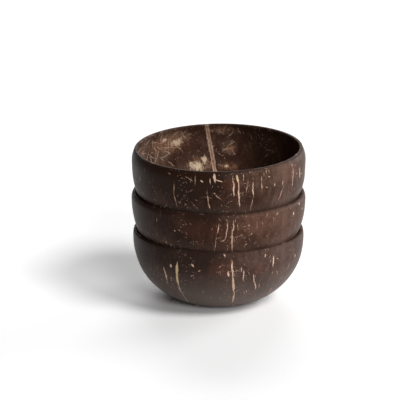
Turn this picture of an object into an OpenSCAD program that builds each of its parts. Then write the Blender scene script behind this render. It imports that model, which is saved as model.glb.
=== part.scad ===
// Coconut shell bowls, three of them nested in a stack.
// Each bowl is one half shell with a rounded rim and a base ground flat.
// Millimetres, +Z up, with the origin at the middle of the bottom bowl's base.

/* [Bowls] */
// Widest diameter of the bowls in this set
bowl_width = 135; // [118:0.5:150]
// Height of the bowls from base to rim
bowl_height = 58.8; // [52:0.2:66]
// Diameter of the flat ground on their bases
bowl_foot = 59; // [52:1:66]

/* [Bottom bowl] */
// How much narrower than the set this bowl is
bottom_narrower = 1.5; // [0:0.5:3]
// How much lower it is
bottom_lower = 2.8; // [0:0.2:4]
// Drop from its rim to its widest ring
bottom_shoulder = 5.5; // [4:0.5:12]
// How far its rim draws in from the widest ring
bottom_draw = 0.8; // [0:0.1:3]
// Fullness of its side, where 2 is an ellipse and more is squarer
bottom_fullness = 2.25; // [2:0.05:3]

/* [Middle bowl] */
// How much wider than the set this bowl is
middle_wider = 0.5; // [0:0.5:2]
// How much wider its flat base is
middle_foot_wider = 1; // [0:0.5:3]
// Drop from its rim to its widest ring
middle_shoulder = 4.5; // [4:0.5:12]
// How far its rim draws in from the widest ring
middle_draw = 1.7; // [0:0.1:3]
// Fullness of its side
middle_fullness = 2.35; // [2:0.05:3]

/* [Top bowl] */
// How much narrower than the set's its flat base is
top_foot_narrower = 1; // [0:0.5:3]
// Drop from its rim to its widest ring
top_shoulder = 10; // [4:0.5:12]
// How far its rim draws in from the widest ring
top_draw = 2.8; // [0:0.1:3]
// Fullness of its side
top_fullness = 2.8; // [2:0.05:3]

/* [Shell] */
// Thickness of every shell at the rim
rim_wall = 2.9; // [2.4:0.1:4]
// Radius of the rim's outer and inner edges
rim_round = 1.1; // [0.4:0.1:1.2]
// Thickness of every shell at the middle of its floor
floor_wall = 3.2; // [2.4:0.1:5]
// Diameter of the level part of every floor, inside
floor_flat = 44; // [30:1:48]

/* [Stack] */
// Upright gap left between two nested bowls
seat_gap = 0.7; // [0.5:0.1:1.5]
// Lean of the top bowl in the mouth below it, in degrees
top_lean = 2; // [0:0.1:3]
// Direction in which it leans, in degrees from +X
top_lean_towards = 245; // [0:1:360]

/* [Hidden] */
$fn = 180;
side_steps = 28;
shoulder_steps = 6;
rim_steps = 5;

// A bowl is its radius, height, widest ring's height, rim's draw-in, foot's radius and fullness
bottom_height = bowl_height - bottom_lower;
bottom = [(bowl_width - bottom_narrower) / 2, bottom_height, bottom_height - bottom_shoulder, bottom_draw,
          bowl_foot / 2, bottom_fullness];
middle = [(bowl_width + middle_wider) / 2, bowl_height, bowl_height - middle_shoulder, middle_draw,
          (bowl_foot + middle_foot_wider) / 2, middle_fullness];
top = [bowl_width / 2, bowl_height, bowl_height - top_shoulder, top_draw,
       (bowl_foot - top_foot_narrower) / 2, top_fullness];

function radius(bowl) = bowl[0];
function height(bowl) = bowl[1];
function ring(bowl) = bowl[2];
function draw(bowl) = bowl[3];
function foot(bowl) = bowl[4];
function fullness(bowl) = bowl[5];

// The side below the widest ring is a superellipse, cut off where it reaches the floor radius.
// Its full depth is how far it would reach below the ring if it ran on to the axis.
function cut_angle(wide, floor, full) = asin(pow(floor / wide, full / 2));
function full_depth(wide, deep, floor, full) = deep / pow(cos(cut_angle(wide, floor, full)), 2 / full);
function side(wide, ring_at, deep, floor, full) =
    let (from = cut_angle(wide, floor, full), reach = full_depth(wide, deep, floor, full))
    [for (i = [side_steps : -1 : 0])
        let (angle = 90 - (90 - from) * i / side_steps)
        [wide * pow(sin(angle), 2 / full), ring_at - reach * pow(cos(angle), 2 / full)]];

// The shoulder above the widest ring draws in along a parabola
function shoulder_radius(bowl, z) =
    radius(bowl) - draw(bowl) * pow((z - ring(bowl)) / (height(bowl) - ring(bowl)), 2);
function edge_height(bowl) = height(bowl) - rim_round;
function shoulder(bowl, wall) =
    [for (i = [1 : shoulder_steps - 1])
        let (z = ring(bowl) + (edge_height(bowl) - ring(bowl)) * i / shoulder_steps)
        [shoulder_radius(bowl, z) - wall, z]];

// The rim's two rounded edges
function rim_arc(bowl, centre, from, to) =
    [for (i = [0 : rim_steps])
        let (angle = from + (to - from) * i / rim_steps)
        [centre + rim_round * cos(angle), edge_height(bowl) + rim_round * sin(angle)]];
function outer_edge(bowl) = rim_arc(bowl, shoulder_radius(bowl, edge_height(bowl)) - rim_round, 0, 90);
function inner_edge(bowl) =
    rim_arc(bowl, shoulder_radius(bowl, edge_height(bowl)) - rim_wall + rim_round, 180, 90);

function outside(bowl) = concat(
    side(radius(bowl), ring(bowl), ring(bowl), foot(bowl), fullness(bowl)),
    shoulder(bowl, 0), outer_edge(bowl));
function inside(bowl) = concat(
    side(radius(bowl) - rim_wall, ring(bowl), ring(bowl) - floor_wall, floor_flat / 2, fullness(bowl)),
    shoulder(bowl, rim_wall), inner_edge(bowl));
function reversed(points) = [for (i = [len(points) - 1 : -1 : 0]) points[i]];

module shell(bowl) {
    rotate_extrude()
        polygon(concat([[0, 0]], outside(bowl), reversed(inside(bowl)), [[0, floor_wall]]));
}

// Height of a bowl's outside at some distance from its axis
function underside(bowl, from_axis) =
    from_axis <= foot(bowl) ? 0 :
    ring(bowl) - full_depth(radius(bowl), ring(bowl), foot(bowl), fullness(bowl))
        * pow(1 - pow(from_axis / radius(bowl), fullness(bowl)), 1 / fullness(bowl));

// An upper bowl sinks until its outside meets the lower bowl's inside, which it does at the rim
function met(lower, upper) = [for (p = inside(lower)) if (p[0] < radius(upper)) p];
function drops(lower, upper) = [for (p = met(lower, upper)) p[1] - underside(upper, p[0])];
function seat_height(lower, upper) = max(drops(lower, upper)) + seat_gap;
function seat_radius(lower, upper) =
    let (points = met(lower, upper), all_drops = drops(lower, upper), most = max(all_drops))
    [for (i = [0 : len(points) - 1]) if (all_drops[i] == most) points[i][0]][0];

// A bowl rocks in the mouth below it about the point where its seat's normals cross its axis
function side_slope(bowl, from_axis) =
    let (reach = full_depth(radius(bowl), ring(bowl), foot(bowl), fullness(bowl)),
         down_share = (ring(bowl) - underside(bowl, from_axis)) / reach,
         out_share = from_axis / radius(bowl))
    radius(bowl) / reach * pow(down_share / out_share, fullness(bowl) - 1);
function rocking_height(lower, upper) =
    let (touch = seat_radius(lower, upper))
    underside(upper, touch) + touch * side_slope(upper, touch);

middle_rise = seat_height(bottom, middle);
top_rise = middle_rise + seat_height(middle, top);
top_rocks_at = rocking_height(middle, top);

module bottom_bowl() {
    color([0.22, 0.17, 0.15])
        shell(bottom);
}

module middle_bowl() {
    color([0.30, 0.19, 0.15])
        translate([0, 0, middle_rise])
            shell(middle);
}

module top_bowl() {
    color([0.25, 0.17, 0.14])
        translate([0, 0, top_rise + top_rocks_at])
            rotate(a = top_lean, v = [-sin(top_lean_towards), cos(top_lean_towards), 0])
                translate([0, 0, -top_rocks_at])
                    shell(top);
}

bottom_bowl();
middle_bowl();
top_bowl();
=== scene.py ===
import math

import bpy
from mathutils import Matrix, Vector


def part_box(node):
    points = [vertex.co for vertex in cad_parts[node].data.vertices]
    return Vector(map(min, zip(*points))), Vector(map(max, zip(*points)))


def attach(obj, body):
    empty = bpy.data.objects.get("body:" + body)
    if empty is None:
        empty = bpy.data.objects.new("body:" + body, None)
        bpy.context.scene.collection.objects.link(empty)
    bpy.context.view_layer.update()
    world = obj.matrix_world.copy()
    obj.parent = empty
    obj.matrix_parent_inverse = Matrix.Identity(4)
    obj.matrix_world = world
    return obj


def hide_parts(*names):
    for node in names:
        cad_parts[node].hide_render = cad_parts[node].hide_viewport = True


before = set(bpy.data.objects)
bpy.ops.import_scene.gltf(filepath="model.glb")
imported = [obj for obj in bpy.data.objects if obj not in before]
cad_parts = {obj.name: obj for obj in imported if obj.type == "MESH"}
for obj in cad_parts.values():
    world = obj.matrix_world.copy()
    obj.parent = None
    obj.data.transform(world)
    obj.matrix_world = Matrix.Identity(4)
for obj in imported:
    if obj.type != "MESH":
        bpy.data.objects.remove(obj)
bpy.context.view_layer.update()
print("frame loaded")

# Three coconut shell bowls, nested in a stack, on a white table beside a window.
# Modelling is in metres. Materials work in millimetres, from the middle of each bowl's base.
# A place on a wall is (azimuth, height): degrees to the right of the front outside, or of the back inside,
# and millimetres above the base.

camera = {
    "distance": 1.5,  # from the point that it looks at
    "pitch": 16.63,  # degrees above level
    "lens": 172.8,  # millimetres
    "sensor": 36,  # millimetres across
    "aimHeight": 0.065,  # height on the stack's axis that shows at aimPixel
    "aimPixel": (218.4, 215.8),
    "frameSize": 400,
    "farthest": 20,  # what lies beyond this isn't drawn
}


# the camera stands in front and looks down a little, with the stack right of and below the middle
def placeCamera():
    pitch = math.radians(camera["pitch"])
    forward = Vector((0, math.cos(pitch), -math.sin(pitch)))
    upward = Vector((0, math.sin(pitch), math.cos(pitch)))
    pixel = camera["distance"] * camera["sensor"] / camera["lens"] / camera["frameSize"]
    across, down = (place - camera["frameSize"] / 2 for place in camera["aimPixel"])
    data = bpy.data.cameras.new("camera")
    data.lens = camera["lens"]
    data.clip_end = camera["farthest"]
    eye = bpy.data.objects.new("camera", data)
    bpy.context.collection.objects.link(eye)
    eye.location = Vector((-across * pixel, 0, camera["aimHeight"])) - forward * camera["distance"]
    eye.location += upward * down * pixel
    eye.rotation_euler = (math.pi / 2 - pitch, 0, 0)
    bpy.context.scene.camera = eye


placeCamera()
print("camera placed")

studio = {
    # towards is degrees from the right hand side to the front, softness the lamp's width in degrees
    "window": {"towards": 35, "height": 48, "strength": 2.0, "softness": 24},
    "lowWindow": {"towards": 68, "height": 25, "strength": 1.25, "softness": 24},
    "sideWindow": {"towards": -35, "height": 15, "strength": 1.7, "softness": 30},
    "backWindow": {"towards": -90, "height": 30, "strength": 1.6, "softness": 40},
    "room": 0.05,  # strength of the white room
    "floorSize": 8,
    "floorWhite": 0.62,
    "floorRoughness": 0.9,
    "floorGloss": 0.1,
    "floorGlow": 0.42,  # how much whiter the table looks than it is lit
}


def placeLamp(name, lamp):
    towards, height = math.radians(lamp["towards"]), math.radians(lamp["height"])
    data = bpy.data.lights.new(name, "SUN")
    data.energy = lamp["strength"]
    data.angle = math.radians(lamp["softness"])
    light = bpy.data.objects.new(name, data)
    bpy.context.collection.objects.link(light)
    level = math.cos(height)
    source = Vector((math.cos(towards) * level, -math.sin(towards) * level, math.sin(height)))
    light.rotation_euler = source.to_track_quat("Z", "Y").to_euler()


for name in ("window", "lowWindow", "sideWindow", "backWindow"):
    placeLamp(name, studio[name])
print("lamps placed")


# an output of one of a shader's nodes; sums on it add Math nodes
class Value:
    def __init__(self, shader, socket):
        self.shader = shader
        self.socket = socket

    def math(self, operation, *others):
        return self.shader.node("Math", {"operation": operation}, dict(enumerate((self, *others))))

    def after(self, operation, other):
        return self.shader.node("Math", {"operation": operation}, {0: other, 1: self})

    def __add__(self, other):
        return self.math("ADD", other)

    def __radd__(self, other):
        return self.after("ADD", other)

    def __sub__(self, other):
        return self.math("SUBTRACT", other)

    def __rsub__(self, other):
        return self.after("SUBTRACT", other)

    def __mul__(self, other):
        return self.math("MULTIPLY", other)

    def __rmul__(self, other):
        return self.after("MULTIPLY", other)

    def __truediv__(self, other):
        return self.math("DIVIDE", other)

    def __abs__(self):
        return self.math("ABSOLUTE")

    # this value times a number, plus another value
    def timesPlus(self, factor, other):
        return self.math("MULTIPLY_ADD", factor, other)

    def atLeast(self, other):
        return self.math("MAXIMUM", other)

    def atMost(self, other):
        return self.math("MINIMUM", other)

    # 0 below low, 1 above high, smooth between
    def smooth(self, low, high):
        return self.shader.node("MapRange", {"interpolation_type": "SMOOTHSTEP"},
                                {"Value": self, "From Min": low, "From Max": high})

    def another(self, output):
        return Value(self.shader, self.socket.node.outputs[output])


class Shader:
    def __init__(self, name):
        self.material = bpy.data.materials.new(name)
        self.material.use_nodes = True
        self.tree = self.material.node_tree
        self.surface = self.tree.nodes["Principled BSDF"]

    def put(self, socket, value):
        if isinstance(value, Value):
            self.tree.links.new(value.socket, socket)
        else:
            socket.default_value = value

    # any node: its settings come first, then the values or links of its sockets
    def node(self, kind, settings, values, output=0):
        made = self.tree.nodes.new("ShaderNode" + kind)
        for name, setting in settings.items():
            if name == "stops":
                for extra in setting[2:]:
                    made.color_ramp.elements.new(extra[0])
                for element, (place, color) in zip(made.color_ramp.elements, sorted(setting)):
                    element.position = place
                    element.color = color
            else:
                setattr(made, name, setting)
        for name, value in values.items():
            self.put(made.inputs[name], value)
        return Value(self, made.outputs[output])

    def vector(self, operation, first, second=(0, 0, 0), output="Vector"):
        return self.node("VectorMath", {"operation": operation}, {0: first, 1: second}, output)

    def dot(self, first, second):
        return self.vector("DOT_PRODUCT", first, second, "Value")

    def noise(self, place, size, detail=2, roughness=0.5):
        values = {"Vector": place, "Scale": 1 / size, "Detail": detail, "Roughness": roughness}
        return self.node("TexNoise", {}, values)

    def mix(self, share, first, second, blend="MIX"):
        settings = {"data_type": "RGBA", "blend_type": blend}
        return self.node("Mix", settings, {0: share, 6: first, 7: second}, 2)


# a colour as an image editor gives it, from 0 to 255
def paint(red, green, blue):
    return (*(((level / 255 + 0.055) / 1.055) ** 2.4 for level in (red, green, blue)), 1)


shellWall = {
    "rim": 0.0029,  # thickness at the rim
    "rimRound": 0.0011,  # radius of both rim edges
    "floor": 0.0032,  # thickness at the middle of the floor
    "floorFlat": 0.044,  # diameter of the level part inside
    "turns": 176,  # steps round a bowl, doubled by the subdivision
    "sideSteps": 40,
    "shoulderSteps": 7,
    "rimSteps": 4,
    "floorSteps": 5,
    "footEdge": 0.0006,  # width of the worn edge round the base
    "weld": 0.00001,  # points closer than this become one
    "waveDepth": 0.0006,
    "waveFade": 0.022,  # how far from the rim and the base the waves are at their full depth
}


# below its widest ring a wall is a superellipse, cut off where it meets the floor
def sidePoints(wide, ringAt, deep, floor, fullness):
    start = math.asin((floor / wide) ** (fullness / 2))
    reach = deep / math.cos(start) ** (2 / fullness)
    points = []
    for step in range(shellWall["sideSteps"] + 1):
        angle = start + (math.pi / 2 - start) * step / shellWall["sideSteps"]
        points.append((wide * math.sin(angle) ** (2 / fullness),
                       ringAt - reach * max(math.cos(angle), 0) ** (2 / fullness)))
    return points


# a shell's outline from the middle of its base, up the outside, over the rim and down to the floor's middle
def shellOutline(bowl):
    wall = shellWall
    wide, high, foot, flat = bowl["wide"] / 2, bowl["high"], bowl["foot"] / 2, wall["floorFlat"] / 2
    ringAt, edgeAt = high - bowl["shoulder"], high - wall["rimRound"]

    def shoulderRadius(z):
        return wide - bowl["draw"] * ((z - ringAt) / (high - ringAt)) ** 2

    def shoulderPoints(thickness):
        rise = (edgeAt - ringAt) / wall["shoulderSteps"]
        heights = [ringAt + rise * step for step in range(1, wall["shoulderSteps"])]
        return [(shoulderRadius(z) - thickness, z) for z in heights]

    def edgePoints(centre, start, end):
        turn = (end - start) / wall["rimSteps"]
        angles = [math.radians(start + turn * step) for step in range(wall["rimSteps"] + 1)]
        return [(centre + wall["rimRound"] * math.cos(angle), edgeAt + wall["rimRound"] * math.sin(angle))
                for angle in angles]

    base = [(foot * step / wall["floorSteps"], 0) for step in range(wall["floorSteps"])]
    base.append((foot - wall["footEdge"], 0))
    floor = [(flat * step / wall["floorSteps"], wall["floor"]) for step in range(wall["floorSteps"])]
    outside = sidePoints(wide, ringAt, ringAt, foot, bowl["fullness"])
    outside += shoulderPoints(0) + edgePoints(shoulderRadius(edgeAt) - wall["rimRound"], 0, 90)
    inside = sidePoints(wide - wall["rim"], ringAt, ringAt - wall["floor"], flat, bowl["fullness"])
    inside += shoulderPoints(wall["rim"])
    inside += edgePoints(shoulderRadius(edgeAt) - wall["rim"] + wall["rimRound"], 180, 90)
    return base + outside + list(reversed(floor + inside))


# the turn and the place that carry a bowl from its own base to its seat in the stack
def seatOf(bowl):
    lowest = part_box(bowl["node"])[0][2]
    lean, towards = math.radians(bowl["lean"]), math.radians(bowl["leanTowards"])
    rise = lowest + bowl["foot"] / 2 * math.sin(lean) - bowl["rocksAt"] * (1 - math.cos(lean))
    turn = Matrix.Rotation(lean, 4, Vector((-math.sin(towards), math.cos(towards), 0)))
    rocksAt = Matrix.Translation((0, 0, bowl["rocksAt"]))
    return Matrix.Translation((0, 0, rise)) @ rocksAt @ turn @ rocksAt.inverted()


def deselectAll():
    if bpy.context.object and bpy.context.object.mode != "OBJECT":
        bpy.ops.object.mode_set(mode="OBJECT")
    bpy.ops.object.select_all(action="DESELECT")


def workOn(piece):
    deselectAll()
    piece.select_set(True)
    bpy.context.view_layer.objects.active = piece


def applyModifier(piece, kind, **settings):
    workOn(piece)
    bpy.ops.object.modifier_add(type=kind)
    modifier = piece.modifiers[-1]
    for name, value in settings.items():
        setattr(modifier, name, value)
    bpy.ops.object.modifier_apply(modifier=modifier.name)


# a shell is turned: its outline is drawn point by point, then spun round the axis
def turnShell(bowl):
    deselectAll()
    bpy.ops.mesh.primitive_plane_add(size=shellWall["rim"], location=(0, 0, 0))
    shell = bpy.context.object
    shell.name = bowl["name"]
    bpy.ops.object.mode_set(mode="EDIT")
    bpy.ops.mesh.select_all(action="SELECT")
    bpy.ops.mesh.merge(type="CENTER")
    here = (0, 0)
    for there in shellOutline(bowl)[1:]:
        step = (there[0] - here[0], 0, there[1] - here[1])
        bpy.ops.mesh.extrude_region_move(TRANSFORM_OT_translate={"value": step})
        here = there
    bpy.ops.mesh.select_all(action="SELECT")
    bpy.ops.mesh.spin(steps=shellWall["turns"], angle=math.tau, center=(0, 0, 0), axis=(0, 0, 1))
    bpy.ops.mesh.select_all(action="SELECT")
    bpy.ops.mesh.remove_doubles(threshold=shellWall["weld"])
    bpy.ops.mesh.normals_make_consistent(inside=False)
    bpy.ops.object.mode_set(mode="OBJECT")
    return shell


# a shell isn't quite round: its walls sink a little here and there, below the rim and above the base
def waveWalls(shell, bowl):
    walls = shell.vertex_groups.new(name="walls")
    for point in shell.data.vertices:
        share = min(point.co.z, bowl["high"] - point.co.z) / shellWall["waveFade"]
        share = min(max(share, 0), 1)
        walls.add([point.index], share * share * (3 - 2 * share), "REPLACE")
    waves = bpy.data.textures.new(bowl["name"] + "Waves", "CLOUDS")
    waves.noise_scale = bowl["waveSize"]
    applyModifier(shell, "DISPLACE", texture=waves, texture_coords="LOCAL", mid_level=0,
                  strength=-shellWall["waveDepth"], vertex_group="walls")
    bpy.data.textures.remove(waves)


def makeShell(bowl):
    shell = turnShell(bowl)
    applyModifier(shell, "SUBSURF", levels=1, render_levels=1, use_limit_surface=False)
    waveWalls(shell, bowl)
    shell.matrix_world = seatOf(bowl)
    workOn(shell)
    bpy.ops.object.transform_apply(location=True, rotation=True, scale=True)
    bpy.ops.object.shade_smooth()
    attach(shell, bowl["node"])
    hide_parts(bowl["node"])
    shell.data.materials.append(shellMaterial(bowl))
    print(bowl["name"], "made, with", len(shell.data.polygons), "faces")


finish = {
    "roughness": 0.44,
    "cloudRoughness": 0.2,  # how much the clouds change it
    "dryRoughness": 0.2,  # how much rougher the fibres and the rim are
    "gloss": 0.07,
    "bump": 0.7, "fineBump": 0.02, "grainBump": 0.05,
    "tan": paint(234, 202, 180),
    "straw": paint(212, 186, 146),
    "russet": paint(172, 124, 92),
    "flank": paint(122, 82, 62),
    "pale": paint(202, 178, 150),
    # the dark colour of the rim's painted shade
    "rim": paint(40, 26, 20),
    # a grey painted reflection of the white table, laid over the lower outside wall
    "paintedTableReflection": paint(122, 108, 101),
    "rust": paint(100, 52, 38),
    # sizes of the patterns in millimetres
    "clouds": 26, "fine": 1.1, "ragged": 2.6, "crowd": 22, "wander": 9,
    "grain": (20, 20, 1), "strands": (110, 110, 2.2),  # repeats round and up the wall
    "grainRise": 0.12,
    # how much each pattern adds to the tone, which runs from dark through brown to red
    "cloudTone": 0.45, "grainTone": 0.25, "raggedTone": 0.12, "redTone": 0.04, "hairTone": 0.1,
    # the tone for the inside's left is painted light, which leaves the right inside darker as painted shade;
    # the right tone is painted light that makes the outside paler towards the right
    "paintedLightLeftInsideTone": 0.15, "paintedLightRightTone": 0.2, "lessTone": 0.04,
    "darkAt": 0.36, "brownAt": 0.52, "redAt": 0.7,
    "speckleDark": 0.78, "specklePale": 1.2,
    # where the painted light and painted shade fade in, in millimetres: under the rim, or to the right of
    # the axis
    "upperBand": (26, 8), "leftHalf": (25, -15), "paintedLightLeftInside": (30, -25), "paintedLightFullAt": 60,
    "redClouds": 4, "redFade": (-0.8, 1.4), "hairFade": (-0.5, 0.6),
    # how ragged and strands make the marks uneven, and how ragged, strands and fine break up the patches
    "uneven": (0.7, 0.5), "patchwork": (2.4, 2.2, 2.4),
    "crowding": (0.4, 0.66),  # the part of the crowd pattern over which the loose fibres come in
    # how far each colour covers what lies under it
    "rustShare": 0.22, "paintedTableReflectionShare": 0.75, "flankShare": 0.4, "strawShare": 0.95, "hairShare": 0.85,
    "smearShare": 0.4, "sutureRusset": 0.45,
    "markEdge": 0.15,  # width in millimetres over which a mark fades out
    "markWander": 3.2,  # how far a mark strays sideways
    "hiddenDrop": 7,  # how far the marks are moved down on the side that the camera doesn't see
    "wallRadius": 67,  # at which the angles of marks and zones are turned into lengths
    # the double line of a suture: where each of its edges fades, in millimetres from its middle
    "sutureOutside": (2, 1.4), "sutureInside": (0.5, 0.1),
    "sutureSpacing": 120,  # degrees
    "sutureTilt": 0.143,  # degrees for each millimetre up the wall
    "rimFrom": 1.6, "rimFull": 0.3,  # millimetres under the top between which the rim's colour comes in
}

# In each bowl, the line that starts with shade gives, in turn: a painted shade that darkens the upper left,
# a painted shade that darkens the rim, the height under which the wall is painted paler and greyer as a
# painted reflection of the table, how far to the right of the axis the wall starts to grow paler as painted
# light, and bareness, how clearly the marks show.
bottomBowl = {
    "name": "bottomShell", "node": "bottom_bowl", "slot": "shell_bottom", "waveSize": 0.021,
    "wide": 0.1335, "high": 0.056, "shoulder": 0.0055, "draw": 0.0008, "foot": 0.059, "fullness": 2.25,
    "lean": 0, "leanTowards": 0, "rocksAt": 0,
    "dark": paint(46, 31, 25), "brown": paint(71, 51, 43), "red": paint(102, 81, 73),
    "shade": 0.03, "rimShade": 0.3, "paintedTableReflectionFrom": 48, "paintedLightFrom": -48, "bareness": 0.9,
    # fibres laid open outside: both ends as (azimuth, height), then the width in millimetres
    "marks": [
        ((-18.4, 46.8), (-16.7, 44.2), 1.44), ((8, 51), (9.5, 36), 1.35),
        ((9, 38), (11, 21), 1.89), ((10.8, 24), (12.5, 9), 1.26),
        ((15, 6), (15.5, 4), 1.07), ((6, 42), (6.5, 37), 1.62), ((-30.2, 28), (-29.4, 16), 0.95),
        ((-29.4, 18), (-31, 4.5), 0.8), ((-39.7, 41.5), (-39.2, 25.5), 0.98), ((-33.8, 44), (-33, 41), 1.62),
        ((16.2, 42), (16.7, 32.5), 0.82), ((23.3, 37.5), (28, 21.5), 0.9), ((38.2, 50), (38.8, 39.5), 1.44),
        ((31.8, 52.6), (31.4, 49.2), 0.9), ((63, 43.7), (63.3, 40.7), 0.98), ((44.3, 20), (48.5, 11), 0.52),
        ((20.3, 23), (21.3, 20.5), 0.43), ((3, 55.6), (4.3, 53.2), 1.26), ((35.5, 45), (37, 47), 0.37),
        ((41, 46.5), (42.5, 46), 0.43), ((-12, 42), (-14.5, 40.5), 0.43), ((-19, 36), (-17.5, 37), 0.43),
        ((2, 47), (-1, 44), 0.32), ((14.5, 45), (14.7, 40), 0.43), ((30, 28), (30.3, 24), 0.37),
        ((38.5, 37), (38.6, 34), 0.37),
    ],
    "strawMarks": [
        ((-28.2, 46.8), (-29.4, 33), 2.2), ((-29.2, 38), (-30.3, 25), 2.0),
    ],
    # zones as azimuth, height and both half sizes, then inside the azimuth of a suture at the floor
    "redZones": [(0, 43, 9, 7), (28, 40, 5, 6)],
    "suture": 18, "patches": [(-30, 20, 6, 4), (70, 30, 5, 4)],
    "smears": [(-28, 24, 9, 8)], "hairZones": [(-40, 35, 20, 12)],
}
middleBowl = {
    "name": "middleShell", "node": "middle_bowl", "slot": "shell_middle", "waveSize": 0.024,
    "wide": 0.1355, "high": 0.0588, "shoulder": 0.0045, "draw": 0.0017, "foot": 0.060, "fullness": 2.35,
    "lean": 0, "leanTowards": 0, "rocksAt": 0,
    "dark": paint(43, 27, 20), "brown": paint(74, 49, 38), "red": paint(106, 81, 70),
    "shade": 0.03, "rimShade": 0.3, "paintedTableReflectionFrom": 40, "paintedLightFrom": -48, "bareness": 0.68,
    "marks": [
        ((5.2, 55), (4.7, 45.5), 0.72), ((4.7, 47.5), (3.8, 38.8), 0.72), ((4, 39.3), (1.2, 37.8), 0.72),
        ((9.4, 55), (8.4, 44), 1.19), ((8.5, 47.5), (8.8, 29.5), 1.27), ((0, 52.5), (-1.7, 44), 0.72),
        ((-2, 42), (-3, 29.5), 0.38), ((18.7, 35.2), (17.5, 33.2), 0.43), ((-44.2, 51), (-44.2, 47.5), 0.33),
        ((-40, 34), (-38.6, 31.5), 0.38), ((19, 50.7), (19.3, 49.2), 0.86), ((21.9, 43.3), (21.1, 42), 0.43),
        ((40, 56), (40.3, 54.5), 0.86), ((-30, 44.6), (-29.2, 43.3), 0.79),
        ((-26.6, 45.6), (-26, 44.2), 0.86),
        ((11.5, 52), (11.8, 46), 0.33), ((5.8, 33), (5.6, 30), 0.33), ((14.5, 43.5), (13.8, 42.5), 0.38),
    ],
    "strawMarks": [
        ((57, 52.5), (57.6, 49.5), 1.4), ((71.7, 51.5), (71, 49), 1.3), ((65.6, 57), (66.2, 55), 1.0),
    ],
    "redZones": [(-12, 48, 14, 9), (25, 50, 10, 7)],
    "suture": -40, "patches": [(20, 28, 5, 4), (-65, 40, 6, 3)],
    "smears": [(24, 30, 10, 7)], "hairZones": [(30, 40, 25, 12)],
}
topBowl = {
    "name": "topShell", "node": "top_bowl", "slot": "shell_top", "waveSize": 0.019,
    "wide": 0.135, "high": 0.0588, "shoulder": 0.010, "draw": 0.0028, "foot": 0.058, "fullness": 2.8,
    "lean": 2, "leanTowards": 245, "rocksAt": 0.0504,
    "dark": paint(41, 25, 17), "brown": paint(67, 45, 35), "red": paint(104, 82, 71),
    "shade": 0.09, "rimShade": 0.45, "paintedTableReflectionFrom": 36, "paintedLightFrom": -27, "bareness": 0.88,
    "marks": [
        ((-3.6, 58), (-2.6, 51), 1.89), ((-2.8, 53.5), (2.3, 51.7), 0.82), ((8.6, 56), (9.4, 40), 1.07),
        ((11.9, 53), (12.8, 30), 0.98), ((15.8, 56.5), (15.5, 52), 0.43), ((18.5, 51), (17.3, 42), 0.32),
        ((22.1, 52), (22, 35), 0.6), ((22, 38), (21, 26.5), 0.5), ((27.4, 53.5), (28.3, 41), 0.49),
        ((29.9, 55.5), (29.4, 52.5), 0.37), ((32.3, 52.5), (34.8, 51), 0.43), ((38, 46), (38, 43), 0.9),
        ((45.3, 46), (45.3, 42.5), 0.37), ((45.7, 40), (41.3, 28.5), 0.42), ((56.5, 56), (55.8, 37.5), 0.6),
        ((-15.6, 56), (-15.5, 49.5), 0.37), ((-21.5, 54.3), (-17.3, 51.7), 0.32),
        ((-30, 49), (-30.3, 39.5), 0.37),
        ((-30.3, 41), (-29, 29.5), 0.44), ((-11.8, 52.8), (-10.3, 51.3), 0.98), ((-6, 54), (-6, 50), 0.43),
        ((-17.5, 45), (-20.2, 42.8), 0.32), ((-8, 44.5), (-7, 32.5), 0.43), ((-7.2, 35), (-6.2, 29.5), 0.49),
        ((-10.5, 39.8), (-4.6, 39), 0.32), ((-3.2, 41.7), (0.8, 38), 0.32),
        ((-17.4, 33.2), (-15.9, 31.8), 0.37), ((-23.2, 33.4), (-21.8, 32.2), 0.32),
        ((-63.5, 45.5), (-63.9, 41), 0.3), ((-35.3, 55.4), (-32.8, 54.6), 0.32),
        ((31, 44.5), (32.6, 43), 0.37), ((-3.8, 43.4), (-2.8, 42.4), 0.49),
    ],
    "strawMarks": [
        ((11.3, 56.3), (12, 50.5), 1.7), ((65.4, 50.5), (66.9, 41), 1.1), ((61, 47), (61.5, 45.5), 0.8),
        ((69, 44.5), (69.4, 43), 0.8),
    ],
    "redZones": [(56, 50, 12, 7), (8, 50, 7, 5)],
    "suture": 0.2, "patches": [
        (-31.5, 46, 5.5, 3.2), (-41, 50, 2.5, 2), (-16.3, 25, 8, 4.5),
        (-10.5, 29.5, 2.5, 4), (6.5, 24, 2, 1.3),
    ],
    "smears": [(-38, 47, 20, 10), (8.5, 38, 5, 5), (8, 24, 8, 4), (-14, 26, 11, 7), (2, 54, 12, 4)],
    "hairZones": [(-58, 45, 26, 16), (8.8, 38.6, 6, 6), (6, 53, 10, 4), (-30, 50, 10, 6)],
}


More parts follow.
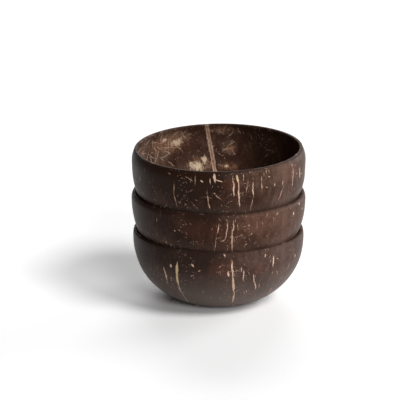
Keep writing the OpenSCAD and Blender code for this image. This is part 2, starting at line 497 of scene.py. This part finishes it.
# where a point lies on a bowl, in millimetres from the middle of its base
# the side that the camera doesn't see repeats the front's marks, turned half round and moved down a little
def shellPlaces(shader, bowl):
    seat = seatOf(bowl)
    place = shader.node("TexCoord", {}, {}, "Object")
    own = {"Location": seat.to_translation(), "Rotation": seat.to_euler(), "Scale": (0.001,) * 3}
    point = shader.node("Mapping", {"vector_type": "TEXTURE"}, {"Vector": place, **own})
    x = shader.node("SeparateXYZ", {}, {"Vector": point}, "X")
    y, z = x.another("Y"), x.another("Z")
    outward = shader.vector("MULTIPLY", point, (1, 1, 0))
    radius = shader.vector("LENGTH", outward, output="Value")
    normal = shader.node("NewGeometry", {}, {}, "Normal")
    wander = shader.noise(point, finish["wander"], 3, 0.6) - 0.5
    stray = finish["markWander"]
    seenSide = y.math("GREATER_THAN", 0).timesPlus(-2, 1)  # 1 in front and -1 at the back
    # the rim's top and all that faces the axis count as inside
    inner = shader.dot(normal, shader.vector("SUBTRACT", outward, (0, 0, 10))).smooth(1, -1)
    return {
        "point": point, "x": x, "z": z, "normal": normal, "inner": inner,
        "markZ": y.smooth(-6, 6).timesPlus(finish["hiddenDrop"], z),
        "perDegree": radius * (math.pi / 180),
        "outArc": wander.timesPlus(stray, (x * seenSide).math("ARCTAN2", abs(y)) * radius),
        "inArc": wander.timesPlus(stray, x.math("ARCTAN2", y) * radius),
        "grain": shader.vector("ADD", shader.vector("NORMALIZE", outward),
                               shader.vector("MULTIPLY", point, (0, 0, finish["grainRise"]))),
    }


# how deep inside the nearest of some marks a point lies, in millimetres
def marksOn(places, arc, marks):
    deepest = None
    for (azimuth, height), (endAzimuth, endHeight), width in marks:
        across = (endAzimuth - azimuth) * math.radians(finish["wallRadius"])
        rise = endHeight - height
        length = math.hypot(across, rise)
        fromStart = places["perDegree"].timesPlus(-azimuth, arc)
        share = places["markZ"].timesPlus(2 * rise / length ** 2, -1 - 2 * rise * height / length ** 2)
        share = fromStart.timesPlus(2 * across / length ** 2, share)
        aside = places["markZ"].timesPlus(-across / length, across * height / length)
        aside = fromStart.timesPlus(rise / length, aside)
        depth = (share * share).timesPlus(-width / 2, width / 2) - abs(aside)
        deepest = depth if deepest is None else deepest.atLeast(depth)
    return deepest


# 1 at the middle of the nearest of some zones and 0 at its edge
def zonesOn(places, arc, zones):
    nearest = None
    for azimuth, height, halfAngle, halfHeight in zones:
        halfWidth = halfAngle * math.radians(finish["wallRadius"])
        aside = places["perDegree"].timesPlus(-azimuth, arc) * (1 / halfWidth)
        above = places["z"].timesPlus(1 / halfHeight, -height / halfHeight)
        zone = 1 - (above * above + aside * aside)
        nearest = zone if nearest is None else nearest.atLeast(zone)
    return nearest


# short fibres strewn over the surface, each in a cell of its own, longer or shorter by chance
def strewn(shader, places, kind, density):
    point = shader.vector("ADD", places["point"], (kind["apart"] * 7, 0, 0))
    cell = shader.node("TexVoronoi", {}, {"Vector": point, "Scale": 1 / kind["apart"]}, "Position")
    offset = shader.vector("SUBTRACT", point, cell)
    flat = shader.vector("SUBTRACT", offset, shader.vector("PROJECT", offset, places["normal"]))
    beside = abs(shader.dot(offset, places["normal"]))
    way = shader.vector("SUBTRACT", cell.another("Color"), (0.5, 0.5, 0.5 - kind["upright"]))
    way = shader.vector("SUBTRACT", way, shader.vector("PROJECT", way, places["normal"]))
    way = shader.vector("NORMALIZE", way)
    chance = shader.node("TexWhiteNoise", {}, {"Vector": cell}, "Value")
    along = shader.dot(flat, way)
    aside = shader.dot(flat, shader.vector("CROSS_PRODUCT", way, places["normal"]))
    aside = (along * along).math("MULTIPLY_ADD", (chance - 0.5) * kind["bend"], aside)
    share = along / (chance * (kind["length"] / 4) + kind["length"] / 4)
    depth = (share * share).timesPlus(-kind["width"] / 2, kind["width"] / 2) - abs(aside)
    return depth.atMost((density * kind["reach"] - beside) * 0.5)


fibres = {
    # apart is the size of a cell, reach how far from the surface a cell's middle still gives a fibre
    "dots": {"apart": 3.2, "length": 1, "width": 0.34, "upright": 0.2, "bend": 0, "reach": 0.9},
    "flecks": {"apart": 4.4, "length": 3.4, "width": 0.24, "upright": 0.25, "bend": 0.3, "reach": 1.3},
    "twigs": {"apart": 8, "length": 7, "width": 0.3, "upright": 0.5, "bend": 0.15, "reach": 2.2},
    "hairs": {"apart": 14, "length": 26, "width": 0.38, "upright": 0.3, "bend": 0.08, "reach": 8},
    "threads": {"apart": 11, "length": 20, "width": 0.36, "upright": 0.1, "bend": 0.14, "reach": 7},
    "curls": {"apart": 8, "length": 14, "width": 0.4, "upright": 0.1, "bend": 0.26, "reach": 6},
}


def shellMaterial(bowl):
    shader = Shader(bowl["name"])
    places = shellPlaces(shader, bowl)
    point, inner = places["point"], places["inner"]
    outer = 1 - inner

    # the shell's browns: large clouds, and grain that runs up the wall, with painted light and painted shade
    # on its left and right
    clouds = shader.noise(point, finish["clouds"], 4, 0.6)
    grain = shader.noise(shader.vector("MULTIPLY", places["grain"], finish["grain"]), 1, 3, 0.6)
    fine = shader.noise(point, finish["fine"], 2, 0.6)
    ragged = shader.noise(point, finish["ragged"], 2, 0.6)
    strands = shader.noise(shader.vector("MULTIPLY", places["grain"], finish["strands"]), 1, 2, 0.5)
    redness = (clouds - 0.5) * finish["redClouds"] + zonesOn(places, places["outArc"], bowl["redZones"])
    redness = redness.smooth(*finish["redFade"]) * outer
    hairy = zonesOn(places, places["inArc"], bowl["hairZones"]).smooth(*finish["hairFade"]) * inner
    tone = clouds * finish["cloudTone"] + grain * finish["grainTone"] + ragged * finish["raggedTone"]
    tone = tone + redness * finish["redTone"] + hairy * finish["hairTone"] - finish["lessTone"]
    # painted light: the inside grows paler towards its left, so its right stays darker as painted shade
    tone = inner * places["x"].smooth(*finish["paintedLightLeftInside"]) * finish["paintedLightLeftInsideTone"] + tone
    high = bowl["high"] * 1000
    # painted shade: the outside grows darker under the rim on its left
    upper = places["z"].smooth(*(high - below for below in finish["upperBand"]))
    paintedShadeUpperLeft = upper * places["x"].smooth(*finish["leftHalf"]) * outer
    tone = paintedShadeUpperLeft.timesPlus(-bowl["shade"], tone)
    # painted light: the wall grows paler towards the right
    right = places["x"].smooth(bowl["paintedLightFrom"], finish["paintedLightFullAt"])
    tone = right.timesPlus(finish["paintedLightRightTone"], tone)
    browns = [(finish["darkAt"], bowl["dark"]), (finish["brownAt"], bowl["brown"]),
              (finish["redAt"], bowl["red"])]
    color = shader.node("ValToRGB", {"stops": browns}, {"Fac": tone})
    greys = [(0.25, (*(finish["speckleDark"],) * 3, 1)), (0.75, (*(finish["specklePale"],) * 3, 1))]
    speckle = shader.node("ValToRGB", {"stops": greys}, {"Fac": fine})
    color = shader.mix(1.0, color, speckle, "MULTIPLY")

    # rust where the shell is redder, and a painted reflection of the white table that makes the wall greyer
    # towards its base
    color = shader.mix(redness * finish["rustShare"], color, finish["rust"])
    paintedTableReflection = places["z"].smooth(bowl["paintedTableReflectionFrom"], 2) * outer
    color = shader.mix(paintedTableReflection * finish["paintedTableReflectionShare"], color, finish["paintedTableReflection"])

    # the pale fibres that the sanding laid open
    crowd = shader.noise(point, finish["crowd"], 2, 0.5).smooth(*finish["crowding"])
    edge = finish["markEdge"]
    raggedShare, strandShare = finish["uneven"]
    uneven = (ragged - 0.5) * raggedShare + (strands - 0.5) * strandShare
    loose = strewn(shader, places, fibres["dots"], crowd)
    for kind in ("flecks", "twigs"):
        loose = loose.atLeast(strewn(shader, places, fibres[kind], crowd))
    looseMask = loose.smooth(-0.06, edge) * ragged.smooth(0.2, 0.55)
    hairs = strewn(shader, places, fibres["hairs"], hairy)
    for kind in ("threads", "curls"):
        hairs = hairs.atLeast(strewn(shader, places, fibres[kind], hairy))
    hairMask = hairs.smooth(-0.08, edge) * ragged.smooth(0.05, 0.45) * finish["hairShare"]
    looseMask = looseMask.atLeast(hairMask)
    tan = marksOn(places, places["outArc"], bowl["marks"]) + uneven
    straw = marksOn(places, places["outArc"], bowl["strawMarks"]) + uneven
    tanMask = tan.smooth(-0.08, edge) * outer
    strawMask = straw.smooth(-0.08, edge) * outer
    flank = tan.atLeast(straw).smooth(-0.5, 0) * outer
    color = shader.mix(flank * finish["flankShare"], color, finish["flank"])
    fibreColor = shader.mix(strands.smooth(0.6, 0.4) * 0.45, finish["tan"], finish["russet"])
    color = shader.mix(looseMask, color, fibreColor)
    color = shader.mix(tanMask * bowl["bareness"], color, fibreColor)
    color = shader.mix(strawMask * finish["strawShare"], color, finish["straw"])

    # inside: patches of pale inner shell with brown smears round them
    patches = zonesOn(places, places["inArc"], bowl["patches"])
    smears = zonesOn(places, places["inArc"], bowl["smears"])
    raggedShare, strandShare, fineShare = finish["patchwork"]
    patchwork = (ragged - 0.5) * raggedShare + (strands - 0.5) * strandShare + (fine - 0.5) * fineShare
    smearMask = (patchwork * 0.8 + smears).smooth(0, 1.4) * inner
    color = shader.mix(smearMask * finish["smearShare"], color, finish["russet"])
    patchMask = (patchwork + patches * 1.3).smooth(0.1, 1.5) * inner
    color = shader.mix(patchMask, color, finish["pale"])

    # inside: the double lines of the three sutures
    third = places["perDegree"] * finish["sutureSpacing"]
    sutureAt = places["z"].timesPlus(finish["sutureTilt"], -bowl["suture"])
    apart = abs(places["perDegree"].math("MULTIPLY_ADD", sutureAt, places["inArc"]))
    apart = apart.atMost(abs(apart - third)) + uneven
    lines = apart.smooth(*finish["sutureOutside"]) - apart.smooth(*finish["sutureInside"]) * 0.6
    sutureMask = lines * (strands.smooth(0.3, 0.55) * 0.4 + 0.35)
    sutureMask = sutureMask * inner
    sutureColor = shader.mix(finish["sutureRusset"], fibreColor, finish["russet"])
    color = shader.mix(sutureMask, color, sutureColor)

    # a drier rim, darkened with painted shade
    rimMask = places["z"].smooth(high - finish["rimFrom"], high - finish["rimFull"])
    color = shader.mix(rimMask * bowl["rimShade"], color, finish["rim"])

    shader.put(shader.surface.inputs["Base Color"], color)
    shader.surface.inputs["Specular IOR Level"].default_value = finish["gloss"]
    dry = looseMask.atLeast(tanMask).atLeast(rimMask) * finish["dryRoughness"]
    roughness = (clouds - 0.5) * finish["cloudRoughness"] + (dry + finish["roughness"])
    shader.put(shader.surface.inputs["Roughness"], roughness)
    relief = fine * finish["fineBump"] + grain * finish["grainBump"]
    bump = shader.node("Bump", {}, {"Strength": finish["bump"], "Distance": 0.001, "Height": relief})
    shader.put(shader.surface.inputs["Normal"], bump)
    return shader.material


for bowl in (bottomBowl, middleBowl, topBowl):
    makeShell(bowl)


def makeFloor():
    deselectAll()
    bpy.ops.mesh.primitive_plane_add(size=studio["floorSize"], location=(0, 0, 0))
    floor = bpy.context.object
    floor.name = "floor"
    shader = Shader("whiteTable")
    shader.surface.inputs["Base Color"].default_value = (*(studio["floorWhite"],) * 3, 1)
    shader.surface.inputs["Roughness"].default_value = studio["floorRoughness"]
    shader.surface.inputs["Specular IOR Level"].default_value = studio["floorGloss"]
    ray = shader.node("LightPath", {}, {}, "Is Camera Ray")
    seen = ray.atLeast(ray.another("Is Glossy Ray")).atLeast(ray.another("Is Transmission Ray"))
    white = shader.node("BsdfDiffuse", {}, {"Color": (1, 1, 1, 1)})
    glow = shader.node("MixShader", {}, {0: seen * studio["floorGlow"], 2: white})
    lit = Value(shader, shader.surface.outputs["BSDF"])
    both = shader.node("AddShader", {}, {0: lit, 1: glow})
    shader.put(shader.tree.nodes["Material Output"].inputs["Surface"], both)
    floor.data.materials.append(shader.material)


makeFloor()

world = bpy.data.worlds.new("room")
bpy.context.scene.world = world
world.use_nodes = True
background = world.node_tree.nodes["Background"]
background.inputs["Color"].default_value = (1, 1, 1, 1)
background.inputs["Strength"].default_value = studio["room"]
bpy.context.scene.view_settings.view_transform = "Standard"
print("floor and room made")
